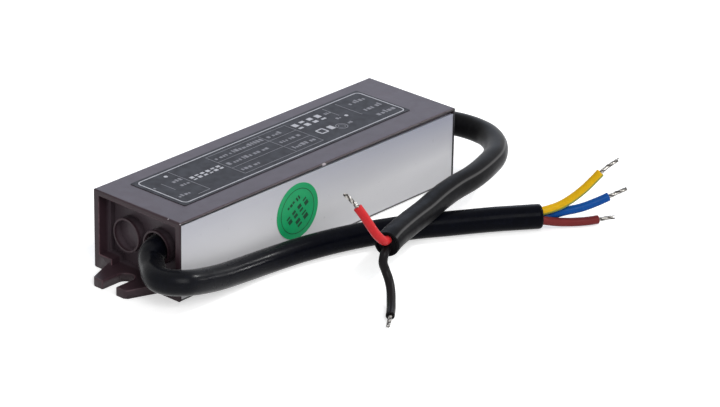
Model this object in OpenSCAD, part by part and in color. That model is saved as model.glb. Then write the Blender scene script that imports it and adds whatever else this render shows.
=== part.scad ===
// Waterproof power supply: a potted converter in a moulded case with a folded aluminium channel under it.
// X runs along the body, the mains lead leaves at -X, and Z = 0 is the plane that the unit stands on.

/* [Case] */
// Length over the two end faces, without the feet
body_length = 102; // [101:0.5:106]
// Width over the end faces
body_width = 30.4; // [30.2:0.2:33]
// Height from the base to the top face
body_height = 21.2; // [21:0.1:23]
// Radius of the two long edges at the top
top_edge = 0.6; // [0.3:0.1:0.6]
// Radius of the two long edges at the bottom
bottom_edge = 1; // [0.8:0.1:1.5]
// Radius of the four upright corners
corner_edge = 0.5; // [0.3:0.1:0.8]
// Radius of the top edges of the two end faces
end_edge = 0.6; // [0.3:0.1:0.8]
// Thickness of the top plate
top_plate = 2; // [1.6:0.1:2.4]
// Thickness of the thin walls behind the aluminium
side_wall = 1; // [0.8:0.1:1.2]
// Thickness of the wall that the leads pass through
end_wall = 1.4; // [1:0.1:1.8]
// Height of the plastic lip left above the aluminium
top_lip = 0.6; // [0.6:0.1:1]

/* [End pockets] */
// Depth of the pocket in each end face
pocket_depth = 4.6; // [4:0.1:5]
// Depth at which the pocket's side walls step inward
pocket_step = 3.2; // [1.5:0.1:3.6]
// Height of the bar under the pocket
pocket_sill = 3.9; // [3.3:0.1:4.5]
// Thickness of the rail over the pocket
pocket_rail = 1.5; // [1.2:0.1:2]
// Sideways offset of the collars from the middle
collar_shift = 0.6; // [0:0.1:1]

/* [Collars] */
// Outer diameter of a collar
collar_d = 9; // [8.4:0.1:9.6]
// Wall thickness of a collar
collar_wall = 0.5; // [0.5:0.05:0.9]
// Length of a collar above the pocket's floor
collar_length = 2.6; // [2:0.1:3.4]
// Distance between the two collars of an end
collar_pitch = 10.4; // [10:0.1:11]
// Height of the collars' axes
collar_z = 10.7; // [10:0.1:11.5]
// Thickness of the membrane that closes the unused collar, above the pocket's floor
membrane = 0.3; // [0.2:0.1:0.6]
// Diameter of the hole round a lead
lead_hole_d = 6.7; // [6.6:0.05:7]

/* [Feet] */
// How far a foot stands out from the end face
foot_length = 7.9; // [7:0.1:10]
// Width of a foot at the end face
foot_root_width = 17.8; // [16:0.2:20]
// Width of a foot at its tip
foot_tip_width = 11.4; // [10:0.2:13]
// Sideways offset of a foot from the middle
foot_shift = 1.7; // [0:0.1:2]
// Thickness of a foot
foot_thickness = 2.3; // [1.8:0.1:2.8]
// Height of a foot's underside over the base
foot_lift = 0; // [0:0.1:0.8]
// Width of the open screw slot
slot_width = 4.6; // [4.2:0.1:5.4]
// Distance from the end face to the centre of the slot's round end
slot_centre = 2.4; // [2.3:0.1:4]
// Chamfer on the corners of the prongs
prong_chamfer = 0.6; // [0.3:0.1:0.8]

/* [Aluminium channel] */
// Thickness of the sheet
sheet = 0.8; // [0.6:0.05:1]
// Depth of the sheet's outer face behind the end blocks' sides
sheet_inset = 0.1; // [0:0.05:0.2]
// Outer radius of the two folds
fold_radius = 1; // [0.9:0.1:1.5]
// Height of the sides at the mains end
side_height_front = 20.5; // [19:0.1:20.5]
// Height of the sides at the output end
side_height_rear = 19.7; // [19:0.1:20.5]
// Width of the plastic edge beyond the sheet at the mains end
front_margin = 0.3; // [0.3:0.1:1.2]
// Width of the plastic edge beyond the sheet at the output end
rear_margin = 0.9; // [0.3:0.1:1.2]

/* [Label and sticker] */
// Length of the label film
label_length = 84.2; // [70:0.2:92]
// Width of the label film
label_width = 18.9; // [14:0.2:24]
// Thickness of the label film
label_film = 0.12; // [0.08:0.01:0.2]
// Angle at which the label was stuck on, in degrees
label_turn = 0.5; // [-1:0.1:1]
// Diameter of the round sticker
sticker_d = 15; // [10:0.5:18]
// Height of the sticker's centre
sticker_z = 11.2; // [9.5:0.1:11.5]
// Place of the sticker along the body
sticker_x = -9.5; // [-35:0.1:35]

/* [Board] */
// Length of the circuit board
board_length = 86; // [86:0.5:87]
// Width of the circuit board
board_width = 24; // [24:0.2:25]
// Thickness of the circuit board
board_thickness = 1.6; // [1.2:0.1:1.6]
// Height of the board's underside over the base
board_lift = 3; // [2.6:0.1:3]
// Diameter of the posts that hold the board down
post_d = 3; // [2.4:0.1:3.4]
// Thickness of the insulating film
film = 0.25; // [0.15:0.05:0.4]

/* [Leads] */
// Diameter of the two jackets
jacket_d = 6.5; // [5.6:0.1:6.5]
// Diameter of a core over its insulation
core_d = 2.3; // [1.6:0.1:2.3]
// Diameter of the bare twisted strands
strand_d = 1.2; // [0.7:0.1:1.2]

/* [Hidden] */
round_faces = 64;
cut = 1;

half_length = body_length / 2;
half_width = body_width / 2;
pocket_floor = half_length - pocket_depth;
cavity_half_length = pocket_floor - end_wall;
sheet_face = half_width - sheet_inset;
sheet_back = sheet_face - sheet;
cavity_half_width = sheet_back - side_wall;
cavity_top = body_height - top_plate;
pocket_top = body_height - pocket_rail;
sheet_start = -half_length + front_margin;
sheet_end = half_length - rear_margin;
rim_x = pocket_floor + collar_length;
collar_bore = collar_d - 2 * collar_wall;
foot_top = foot_lift + foot_thickness;
lead_y = collar_shift - collar_pitch / 2;
blank_y = collar_shift + collar_pitch / 2;

// The pocket's side walls, measured at the mains end, before and after the step
pocket_near = -13.3;
pocket_far = 13.2;
pocket_inner = 12.3;
// Radius of the bottom edges of the two end faces
end_edge_low = 0.2;
// Half the width of the gap in the sill over the foot
sill_gap = 7.2;

film_top = sheet + film;
board_top = board_lift + board_thickness;
post_x = 40.5;
post_y = 9.8;
// Clearance between the resin and a round part, where the two only touch
resin_gap = 0.1;
chip_edge = 0.4;
// Height of the small parts' bodies over the board
part_lift = 0.4;

// Places of the parts on the board, from the body's centre
fuse_at = [-36, 4];
x_capacitor_at = [-26.5, 7.5];
choke_at = [-26.5, -4.5];
bridge_at = [-15, 7];
bulk_at = [-10.5, -5.6];
controller_at = [-5.3, 7];
snubber_at = [-0.2, -5.8];
transformer_at = [10.5, 0];
optocoupler_at = [23.5, -8];
y_capacitor_at = [23.5, 7.5];
diode_at = [31.8, 0];
output_1_at = [31.8, 7];
output_2_at = [31.8, -7];

fuse_d = 3.6;
fuse_length = 9;
x_capacitor_size = [13, 6, 11];
bridge_size = [8.2, 6.4, 3.2];
controller_size = [9.4, 6.3, 3.4];
optocoupler_size = [6.4, 4.6, 3.5];
bulk_d = 10;
bulk_length = 15.4;
output_capacitor_d = 7.8;
output_capacitor_length = 12;
snubber_d = 2.4;
snubber_length = 6.4;
diode_d = 5;
diode_length = 9.4;
disc_d = 8;
disc_thickness = 3.4;
disc_lift = 0.8;
disc_legs = 5;
wire_d = 0.8;
// Distance from a lying part's end to its bent leg
leg_out = 1;

choke_outer = 6;
choke_inner = 3;
choke_height = 5;
choke_turns = 0.8;
choke_span = 130;
// Play between the ring and the turns round it
choke_play = 0.05;

transformer_z = 11.5;
core_size = [16, 19, 5];
core_back = 2.4;
core_limb = 2.4;
core_centre_limb = 4.8;
bobbin_wall = 0.6;
bobbin_flange = 1;
bobbin_height = 12.2;
bobbin_length = 11;
rail_length = 2.6;
rail_width = 17;

// Places of the three mains cores and the two output cores round each lead's axis
core_ring = 1.35;
pair_ring = 1.2;
tail_bend = 3;
long_tail = 3.5;
short_tail = 1;

// The mains lead: along the near side on the surface, then away from the body
mains_route = [
    [-45, -4.6, 10.7], [-47.4, -4.6, 10.7], [-49, -4.6, 10.5], [-50.4, -4.8, 9.8], [-51.6, -5.6, 8.85],
    [-53.5, -8.1, 7.9], [-55.3, -10.6, 7.5], [-56, -12.6, 7.3], [-55.7, -14.4, 7.2], [-54.9, -16.1, 7.2],
    [-53.6, -17.6, 7.2], [-52, -18.6, 7], [-47.8, -18.9, 6.1], [-41.1, -18.8, 4.9], [-33.7, -18.6, 4.1],
    [-23.8, -18.6, 3.4], [-13.8, -19.9, 3.3], [-3.8, -22.3, 3.3], [6.2, -25.9, 3.3], [16.2, -30.8, 3.3],
    [25.4, -36.7, 3.3], [34.5, -42.7, 3.3], [41, -47.5, 3.3], [44.6, -50.2, 3.3]
];
// The output lead: round the rear corner, then back over the mains lead
output_route = [
    [45, 4.6, 10.7], [49, 4.6, 10.7], [53.4, 4.7, 10.6], [56.8, 3.5, 10.4], [59.6, 0.9, 10.1],
    [61.5, -2.7, 10.3], [63.2, -7, 10.2], [63.9, -11.9, 10], [63, -16.9, 9.9], [59.6, -22, 9.8],
    [54.1, -26.3, 9.8], [47.6, -28.9, 9.8], [39.5, -31, 9.8], [30.9, -32.1, 9.8], [22.7, -34, 9.9],
    [14.4, -36.8, 10.3], [5.7, -39.8, 11.2], [-2.5, -43, 12.2], [-7.8, -45.2, 12.8], [-11.4, -46.7, 12.8]
];
// The cores fan out from the cut end of each jacket
earth_route = [
    [44.6, -50.2, 4.65], [48, -52.8, 5.8], [50.7, -54.8, 7.6], [53.1, -56.5, 9.8], [54.9, -57.7, 11.8],
    [57, -59.1, 14.4]
];
neutral_route = [
    [45.305, -49.26, 2.6], [47.3, -50.8, 2.8], [49.6, -53.4, 4], [52.9, -56.3, 4.9], [56.2, -58.6, 6.1],
    [59.1, -60.5, 7.4]
];
live_route = [
    [43.895, -51.14, 2.6], [47.4, -53.5, 1.8], [50.9, -55.7, 1.35], [53.9, -57.8, 1.3], [56.6, -59.4, 1.4]
];
positive_route = [
    [-11.4, -46.7, 14], [-12.9, -47.2, 14.5], [-14.3, -47.1, 15.6], [-15.7, -46.6, 17.4],
    [-16.6, -45.5, 19.6], [-17.4, -44.4, 21.7], [-18.2, -42.9, 23.9]
];
negative_route = [
    [-11.4, -46.7, 11.6], [-12.9, -47.3, 10.8], [-13.6, -47.6, 8.9], [-13.4, -48.3, 7],
    [-13.8, -49.8, 5], [-15.1, -51.6, 3.4], [-17.3, -53.7, 2.2], [-19.9, -56, 1.5], [-22.7, -58.2, 1.3]
];
// Tips of the bare strands
earth_tip = [61.6, -61.6, 17.6];
neutral_tip = [62.8, -63.6, 9.5];
live_tip = [60.6, -61.9, 1.6];
positive_tip = [-20.3, -40.3, 27.4];
negative_tip = [-27.3, -61.6, 1];

case_colour = [0.31, 0.23, 0.26];
aluminium_colour = [0.7, 0.72, 0.75];
label_colour = [0.29, 0.3, 0.32];
sticker_colour = [0.11, 0.58, 0.37];
resin_colour = [0.16, 0.16, 0.17];
copper_colour = [0.72, 0.42, 0.22];
tin_colour = [0.78, 0.77, 0.74];
jacket_colour = [0.1, 0.1, 0.11];

function unit(v) = v / norm(v);
function last_direction(route) = unit(route[len(route) - 1] - route[len(route) - 2]);
function last_point(route) = route[len(route) - 1];

// Direction of a route at its point i, with a given direction at its start
function route_direction(route, i, start) =
    i == 0 ? (is_undef(start) ? unit(route[1] - route[0]) : start)
    : i == len(route) - 1 ? last_direction(route)
    : unit(route[i + 1] - route[i - 1]);

function ring_point(centre, direction, radius, angle) =
    let (side = unit(cross([0, 0, 1], direction)), top = cross(direction, side))
    centre + radius * (cos(angle) * side + sin(angle) * top);

// A round cord swept along a route, one ring of corners at each point
module cord(route, diameter, sides, start = undef) {
    rings = len(route);
    points = [
        for (i = [0:rings - 1], k = [0:sides - 1])
            ring_point(route[i], route_direction(route, i, start), diameter / 2, 360 * k / sides)
    ];
    sides_low = [
        for (i = [0:rings - 2], k = [0:sides - 1])
            [i * sides + k, (i + 1) * sides + k, (i + 1) * sides + (k + 1) % sides]
    ];
    sides_high = [
        for (i = [0:rings - 2], k = [0:sides - 1])
            [i * sides + k, (i + 1) * sides + (k + 1) % sides, i * sides + (k + 1) % sides]
    ];
    first_cap = [for (k = [0:sides - 1]) k];
    last_cap = [for (k = [0:sides - 1]) rings * sides - 1 - k];
    polyhedron(points, concat(sides_low, sides_high, [first_cap, last_cap]));
}

// Draws a profile, given as width and height, out along X
module along_x(length) {
    rotate([90, 0, 90]) linear_extrude(length) children();
}

// A rectangle on the base line, with one radius for its lower corners and one for its upper corners
module rounded_profile(width, height, low, high) {
    translate([-width / 2, low]) square([width, height - low - high]);
    translate([-width / 2 + low, 0]) square([width - 2 * low, low]);
    translate([-width / 2 + high, height - high]) square([width - 2 * high, high]);
    for (side = [-1, 1]) {
        translate([side * (width / 2 - low), low]) circle(low, $fn = round_faces);
        translate([side * (width / 2 - high), height - high]) circle(high, $fn = round_faces);
    }
}

module rounded_rectangle(length, width, radius) {
    translate([0, -width / 2]) rounded_profile(length, width, radius, radius);
}

// Puts the mains end's features on both ends: the output end is the same, turned half round
module both_ends() {
    for (turn = [0, 180]) rotate([0, 0, turn]) children();
}

module x_cylinder(x_low, x_high, y, z, diameter) {
    translate([x_low, y, z]) rotate([0, 90, 0])
        cylinder(h = x_high - x_low, d = diameter, $fn = round_faces);
}

// The block that the whole moulding is cut from
module case_block() {
    intersection() {
        translate([-half_length, 0, 0]) along_x(body_length)
            rounded_profile(body_width, body_height, bottom_edge, top_edge);
        linear_extrude(body_height) rounded_rectangle(body_length, body_width, corner_edge);
        translate([0, half_width, 0]) rotate([90, 0, 0]) linear_extrude(body_width)
            rounded_profile(body_length, body_height, end_edge_low, end_edge);
    }
}

// The shallow bed round the sides and the bottom, which the channel sits in
module sheet_bed() {
    bed_top = body_height - top_lip;
    translate([sheet_start, 0, 0]) along_x(sheet_end - sheet_start) difference() {
        translate([-half_width - cut, -cut]) square([body_width + 2 * cut, bed_top + cut]);
        translate([0, sheet]) rounded_profile(2 * sheet_back, body_height, fold_radius - sheet + 0.1, 0.1);
    }
}

module board_cavity() {
    translate([-cavity_half_length, -cavity_half_width, -cut])
        cube([2 * cavity_half_length, 2 * cavity_half_width, cavity_top + cut]);
}

// The pocket in the mains end, with a step in its side walls and a gap in its sill over the foot
module end_pocket() {
    translate([-half_length - cut, pocket_near, pocket_sill])
        cube([pocket_step + cut, pocket_far - pocket_near, pocket_top - pocket_sill]);
    translate([-half_length, -pocket_inner, pocket_sill])
        cube([pocket_depth, 2 * pocket_inner, pocket_top - pocket_sill]);
    translate([-half_length - cut, foot_shift - sill_gap, foot_top])
        cube([pocket_depth + cut, 2 * sill_gap, pocket_sill - foot_top + cut / 2]);
}

module collar_posts() {
    for (y = [lead_y, blank_y])
        x_cylinder(-rim_x, -pocket_floor + end_wall / 2, y, collar_z, collar_d);
}

// The open collar goes right through for the lead, and the other one ends at its membrane
module collar_bores() {
    x_cylinder(-rim_x - cut, -pocket_floor, lead_y, collar_z, collar_bore);
    x_cylinder(-rim_x - cut, -cavity_half_length + cut, lead_y, collar_z, lead_hole_d);
    x_cylinder(-rim_x - cut, -pocket_floor - membrane, blank_y, collar_z, collar_bore);
}

// Outline of a foot at the mains end: tapered prongs round an open slot with a round end
module foot_outline() {
    root = -half_length + min(front_margin, rear_margin);
    tip = -half_length - foot_length;
    root_half = foot_root_width / 2;
    tip_half = foot_tip_width / 2;
    slot_half = slot_width / 2;
    slot_x = -half_length - slot_centre;
    difference() {
        polygon([
            [root, -root_half], [-half_length, -root_half],
            [tip + prong_chamfer, -tip_half - prong_chamfer / 2], [tip, -tip_half + prong_chamfer],
            [tip, tip_half - prong_chamfer], [tip + prong_chamfer, tip_half + prong_chamfer / 2],
            [-half_length, root_half], [root, root_half]
        ]);
        translate([slot_x, 0]) circle(slot_half, $fn = round_faces);
        translate([tip - cut, -slot_half]) square([slot_x - tip + cut, slot_width]);
    }
}

module foot() {
    translate([0, foot_shift, foot_lift]) linear_extrude(foot_thickness) foot_outline();
}

// Four posts stand down from the top plate and hold the board's corners
module board_posts(gap = 0) {
    for (x = [-post_x, post_x], y = [-post_y, post_y])
        translate([x, y, board_top])
            cylinder(h = cavity_top - board_top + top_plate / 4, d = post_d + 2 * gap, $fn = round_faces);
}

module case_moulding() {
    color(case_colour) {
        difference() {
            union() {
                difference() {
                    case_block();
                    sheet_bed();
                    board_cavity();
                    both_ends() end_pocket();
                }
                both_ends() collar_posts();
                both_ends() foot();
            }
            both_ends() collar_bores();
        }
        board_posts();
    }
}

// One folded sheet: a base and two sides whose top edges run down toward the output end
module aluminium_channel() {
    length = sheet_end - sheet_start;
    color(aluminium_colour) intersection() {
        translate([sheet_start, 0, 0]) along_x(length) difference() {
            rounded_profile(2 * sheet_face, side_height_front + cut, fold_radius, 0.1);
            translate([0, sheet])
                rounded_profile(2 * sheet_back, side_height_front + cut, fold_radius - sheet, 0.1);
        }
        translate([0, half_width, 0]) rotate([90, 0, 0]) linear_extrude(body_width) polygon([
            [sheet_start, 0], [sheet_end, 0], [sheet_end, side_height_rear], [sheet_start, side_height_front]
        ]);
    }
}

module rating_label() {
    color(label_colour) translate([-0.8, 1.3, body_height]) rotate([0, 0, label_turn])
        linear_extrude(label_film) rounded_rectangle(label_length, label_width, 0.4);
}

module inspection_sticker() {
    color(sticker_colour) translate([sticker_x, -sheet_face, sticker_z]) rotate([90, 0, 0])
        cylinder(h = sheet_inset, d = sticker_d, $fn = round_faces);
}

module insulating_film() {
    color("khaki") translate([0, 0, sheet]) difference() {
        translate([-cavity_half_length, -cavity_half_width, 0])
            cube([2 * cavity_half_length, 2 * cavity_half_width, film]);
        translate([-37, -3, -cut]) cube([8, 6, film + 2 * cut]);
    }
}

// The board has a routed slot between its mains side and its output side
module circuit_board() {
    color("darkgreen") translate([0, 0, board_lift]) linear_extrude(board_thickness) difference() {
        rounded_rectangle(board_length, board_width, 1);
        translate([23.5, 0]) rounded_rectangle(1.6, 7, 0.7);
    }
}

// A folded strip that carries the earth from the board's underside to the aluminium base
module earth_contact_spring() {
    strip = 0.3;
    color(tin_colour) translate([-36, 2, 0]) rotate([90, 0, 0]) linear_extrude(4) polygon([
        [0, board_lift], [0, board_lift - strip], [3.2, board_lift - strip], [4, sheet + 0.3],
        [4.6, sheet], [6, sheet], [6, sheet + strip], [4.8, sheet + strip], [3.6, board_lift]
    ]);
}

module on_board(place) {
    translate([place[0], place[1], board_top]) children();
}

// A round body lying across the board, with a lead bent down at each end
module lying_part(diameter, length, lift) {
    leg = length / 2 + leg_out;
    translate([0, 0, diameter / 2 + lift]) rotate([90, 0, 0])
        cylinder(h = length, d = diameter, center = true, $fn = round_faces);
    translate([0, 0, diameter / 2 + lift]) rotate([90, 0, 0])
        cylinder(h = 2 * leg, d = wire_d, center = true, $fn = 24);
    for (side = [-1, 1]) translate([0, side * leg, 0])
        cylinder(h = diameter / 2 + lift + wire_d, d = wire_d + 0.2, $fn = 24);
}

// The room that a lying part takes in the resin, with one slot for its legs
module lying_room(diameter, length, lift) {
    reach = length / 2 + leg_out + wire_d;
    translate([0, 0, diameter / 2 + lift]) rotate([90, 0, 0])
        cylinder(h = length, d = diameter + 2 * resin_gap, center = true, $fn = round_faces);
    translate([-wire_d, -reach, 0]) cube([2 * wire_d, 2 * reach, diameter / 2 + lift + 1.2 * wire_d]);
}

// A moulded chip: a block with a bevelled top and a row of legs along two sides
module chip(size, legs) {
    leg_width = 0.6;
    leg_length = 0.9;
    pitch = size[0] / legs;
    along_top = [size[0] - 2 * chip_edge, size[1] - 2 * chip_edge];
    translate([-size[0] / 2, -size[1] / 2, 0.4]) cube([size[0], size[1], size[2] - 1]);
    translate([-along_top[0] / 2, -along_top[1] / 2, 0.4])
        cube([along_top[0], along_top[1], size[2] - 0.4]);
    for (i = [0:legs - 1], side = [-1, 1])
        translate([(i + 0.5) * pitch - size[0] / 2 - leg_width / 2, side * size[1] / 2, 0])
            translate([0, side > 0 ? -chip_edge : -leg_length, 0])
                cube([leg_width, leg_length + chip_edge, size[2] / 2]);
}

// The room that a chip takes in the resin
module chip_room(size) {
    reach = 0.9;
    translate([-size[0] / 2, -size[1] / 2 - reach, 0]) cube([size[0], size[1] + 2 * reach, size[2]]);
}

// A can with a rolled neck near its sealed end
module can(diameter, length) {
    rotate_extrude($fn = round_faces) difference() {
        square([diameter / 2, length]);
        translate([diameter / 2 + 0.3, 2]) circle(0.7, $fn = 24);
    }
}

module input_fuse() {
    color("tan") on_board(fuse_at) lying_part(fuse_d, fuse_length, part_lift);
}

module x_capacitor() {
    size = x_capacitor_size;
    color("goldenrod") on_board(x_capacitor_at) linear_extrude(size[2])
        rounded_rectangle(size[0], size[1], 0.6);
}

module input_choke_core() {
    color("dimgray") on_board(choke_at) translate([0, 0, choke_turns]) rotate_extrude($fn = round_faces)
        translate([choke_inner, 0]) square([choke_outer - choke_inner, choke_height]);
}

// Two coils wound round the ring, one for each side of the mains
module input_choke_winding() {
    color(copper_colour) on_board(choke_at) for (start = [25, 205]) rotate([0, 0, start])
        rotate_extrude(angle = choke_span, $fn = round_faces) difference() {
            translate([choke_inner - choke_turns, 0])
                square([choke_outer - choke_inner + 2 * choke_turns, choke_height + 2 * choke_turns]);
            translate([choke_inner - choke_play, choke_turns - choke_play])
                square([choke_outer - choke_inner + 2 * choke_play, choke_height + 2 * choke_play]);
        }
}

module bridge_rectifier() {
    color("black") on_board(bridge_at) chip(bridge_size, 2);
}

module controller_chip() {
    color("black") on_board(controller_at) chip(controller_size, 4);
}

module optocoupler() {
    color("ivory") on_board(optocoupler_at) rotate([0, 0, 90])
        chip([optocoupler_size[1], optocoupler_size[0], optocoupler_size[2]], 2);
}

module bulk_capacitor() {
    color("midnightblue") on_board(bulk_at) translate([-bulk_length / 2, 0, bulk_d / 2])
        rotate([0, 90, 0]) can(bulk_d, bulk_length);
}

module snubber_resistor() {
    color("burlywood") on_board(snubber_at) lying_part(snubber_d, snubber_length, part_lift);
}

// Two E halves on a shared centre limb, drawn in plan
module transformer_core() {
    window = core_size[0] - 2 * core_back;
    window_width = (core_size[1] - 2 * core_limb - core_centre_limb) / 2;
    color("dimgray") translate([transformer_at[0], transformer_at[1], transformer_z - core_size[2] / 2])
        linear_extrude(core_size[2]) difference() {
            square([core_size[0], core_size[1]], center = true);
            for (side = [-1, 1])
                translate([0, side * (core_centre_limb + window_width) / 2])
                    square([window, window_width], center = true);
        }
}

// A square tube round the centre limb, with a flange at each end and rails that stand on the board
module transformer_bobbin() {
    hole = [core_centre_limb, core_size[2]];
    outer = hole + [2 * bobbin_wall, 2 * bobbin_wall];
    flange_width = core_size[1] - 2 * core_limb - 0.4;
    rail_height = transformer_z - core_size[2] / 2 - board_top;
    color("seashell") translate([transformer_at[0], transformer_at[1], transformer_z]) {
        difference() {
            union() {
                cube([bobbin_length, outer[0], outer[1]], center = true);
                for (side = [-1, 1]) translate([side * (bobbin_length - bobbin_flange) / 2, 0, 0])
                    cube([bobbin_flange, flange_width, bobbin_height], center = true);
            }
            cube([bobbin_length + cut, hole[0], hole[1]], center = true);
        }
        for (side = [-1, 1])
            translate([side * (bobbin_length + rail_length) / 2, 0, board_top - transformer_z + rail_height / 2])
                cube([rail_length + bobbin_flange, rail_width, rail_height], center = true);
    }
}

module transformer_winding() {
    length = bobbin_length - 2 * bobbin_flange;
    inner = [core_centre_limb + 2 * bobbin_wall, core_size[2] + 2 * bobbin_wall];
    build = 3.1;
    color(copper_colour) translate([transformer_at[0] - length / 2, transformer_at[1], transformer_z])
        along_x(length) difference() {
            rounded_rectangle(inner[0] + 2 * build, inner[1] + 2 * build - 1.2, 2);
            square(inner, center = true);
        }
}

// A coated disc on edge, drawn with its two legs
module y_capacitor() {
    color("steelblue") on_board(y_capacitor_at) {
        translate([0, 0, disc_lift + disc_d / 2]) rotate([90, 0, 0])
            cylinder(h = disc_thickness, d = disc_d, center = true, $fn = round_faces);
        for (side = [-1, 1]) translate([side * disc_legs / 2, 0, 0])
            cylinder(h = disc_lift + disc_d / 2, d = wire_d, $fn = 24);
    }
}

module output_diode() {
    color("black") on_board(diode_at) rotate([0, 0, 90]) lying_part(diode_d, diode_length, part_lift);
}

module output_capacitor(place) {
    color("midnightblue") on_board(place) can(output_capacitor_d, output_capacitor_length);
}

module output_capacitor_1() {
    output_capacitor(output_1_at);
}

module output_capacitor_2() {
    output_capacitor(output_2_at);
}

// A core inside the case: in along X, then bent down to the board
module bent_tail(y, z, straight) {
    bend_x = -cavity_half_length + straight;
    x_cylinder(-cavity_half_length, bend_x, y, z, core_d);
    translate([bend_x, y, z - tail_bend]) rotate([90, 0, 0]) rotate_extrude(angle = 90, $fn = round_faces)
        translate([tail_bend, 0]) circle(d = core_d, $fn = 32);
    translate([bend_x + tail_bend, y, board_top])
        cylinder(h = z - tail_bend - board_top, d = core_d, $fn = round_faces);
}

module mains_tails() {
    low = collar_z - core_ring / 2;
    color("sienna") bent_tail(lead_y, collar_z + core_ring, long_tail);
    color("gold") bent_tail(lead_y - core_ring * sin(60), low, short_tail);
    color("royalblue") bent_tail(lead_y + core_ring * sin(60), low, short_tail);
}

module output_tails() {
    rotate([0, 0, 180]) {
        color("firebrick") bent_tail(lead_y, collar_z + pair_ring, long_tail);
        color("black") bent_tail(lead_y, collar_z - pair_ring, short_tail);
    }
}

// The room that an end's tails take in the resin
module tail_room() {
    half = core_ring + core_d / 2;
    translate([-cavity_half_length - cut, lead_y - half, board_top])
        cube([long_tail + tail_bend + core_d / 2 + resin_gap + cut, 2 * half, collar_z + half - board_top]);
}

// The resin fills all that the board and its parts leave free
module potting_compound() {
    color(resin_colour) difference() {
        translate([-cavity_half_length, -cavity_half_width, film_top])
            cube([2 * cavity_half_length, 2 * cavity_half_width, cavity_top - film_top]);
        circuit_board();
        earth_contact_spring();
        board_posts(resin_gap);
        on_board(fuse_at) lying_room(fuse_d, fuse_length, part_lift);
        x_capacitor();
        on_board(choke_at) cylinder(
            h = choke_height + 2 * choke_turns + resin_gap,
            r = choke_outer + choke_turns + resin_gap, $fn = round_faces);
        on_board(bridge_at) chip_room(bridge_size);
        on_board(controller_at) chip_room(controller_size);
        on_board(optocoupler_at) rotate([0, 0, 90])
            chip_room([optocoupler_size[1], optocoupler_size[0], optocoupler_size[2]]);
        x_cylinder(
            bulk_at[0] - bulk_length / 2, bulk_at[0] + bulk_length / 2,
            bulk_at[1], board_top + bulk_d / 2, bulk_d + 2 * resin_gap);
        on_board(snubber_at) lying_room(snubber_d, snubber_length, part_lift);
        transformer_room();
        disc_room();
        on_board(diode_at) rotate([0, 0, 90]) lying_room(diode_d, diode_length, part_lift);
        for (place = [output_1_at, output_2_at]) on_board(place)
            cylinder(h = output_capacitor_length, d = output_capacitor_d + 2 * resin_gap, $fn = round_faces);
        both_ends() tail_room();
    }
}

module disc_room() {
    on_board(y_capacitor_at) {
        translate([0, 0, disc_lift + disc_d / 2]) rotate([90, 0, 0])
            cylinder(h = disc_thickness, d = disc_d + 2 * resin_gap, center = true, $fn = round_faces);
        translate([-disc_legs / 2 - wire_d, -wire_d, 0])
            cube([disc_legs + 2 * wire_d, 2 * wire_d, disc_lift + disc_d / 2]);
    }
}

// The room of the transformer: its core, the bobbin inside it and the rails below
module transformer_room() {
    flange_width = core_size[1] - 2 * core_limb - 0.4;
    base = transformer_z - core_size[2] / 2;
    on_board(transformer_at) translate([-core_size[0] / 2, -core_size[1] / 2, base - board_top])
        cube(core_size);
    translate([transformer_at[0], transformer_at[1], transformer_z])
        cube([bobbin_length, flange_width, bobbin_height], center = true);
    on_board(transformer_at) translate([-bobbin_length / 2 - rail_length - 0.5, -rail_width / 2, 0])
        cube([bobbin_length + 2 * rail_length + 1, rail_width, base - board_top]);
}

module mains_cable() {
    color(jacket_colour) cord(mains_route, jacket_d, 12);
}

module output_cable() {
    color(jacket_colour) cord(output_route, jacket_d, 12);
}

module live_core() {
    color("sienna") cord(live_route, core_d, 8, last_direction(mains_route));
}

module neutral_core() {
    color("royalblue") cord(neutral_route, core_d, 8, last_direction(mains_route));
}

module earth_core() {
    color("gold") cord(earth_route, core_d, 8, last_direction(mains_route));
}

module positive_core() {
    color("firebrick") cord(positive_route, core_d, 8, last_direction(output_route));
}

module negative_core() {
    color("black") cord(negative_route, core_d, 8, last_direction(output_route));
}

// The bare end of a core, from the end of its insulation to a tip
module strands(route, tip) {
    color(tin_colour) cord([last_point(route), tip], strand_d, 8, last_direction(route));
}

module live_strands() {
    strands(live_route, live_tip);
}

module neutral_strands() {
    strands(neutral_route, neutral_tip);
}

module earth_strands() {
    strands(earth_route, earth_tip);
}

module positive_strands() {
    strands(positive_route, positive_tip);
}

module negative_strands() {
    strands(negative_route, negative_tip);
}

case_moulding();
aluminium_channel();
rating_label();
inspection_sticker();
potting_compound();
insulating_film();
circuit_board();
earth_contact_spring();
input_fuse();
x_capacitor();
input_choke_core();
input_choke_winding();
bridge_rectifier();
bulk_capacitor();
controller_chip();
snubber_resistor();
transformer_core();
transformer_bobbin();
transformer_winding();
optocoupler();
y_capacitor();
output_diode();
output_capacitor_1();
output_capacitor_2();
mains_tails();
output_tails();
mains_cable();
live_core();
neutral_core();
earth_core();
live_strands();
neutral_strands();
earth_strands();
output_cable();
positive_core();
negative_core();
positive_strands();
negative_strands();
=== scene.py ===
"""Looks of the waterproof power supply: its case, aluminium channel, label, sticker and two leads."""

import math
import random

import bmesh
import bpy
from bpy.props import FloatProperty, FloatVectorProperty, IntProperty, PointerProperty
from mathutils import Matrix, Vector, noise


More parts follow.
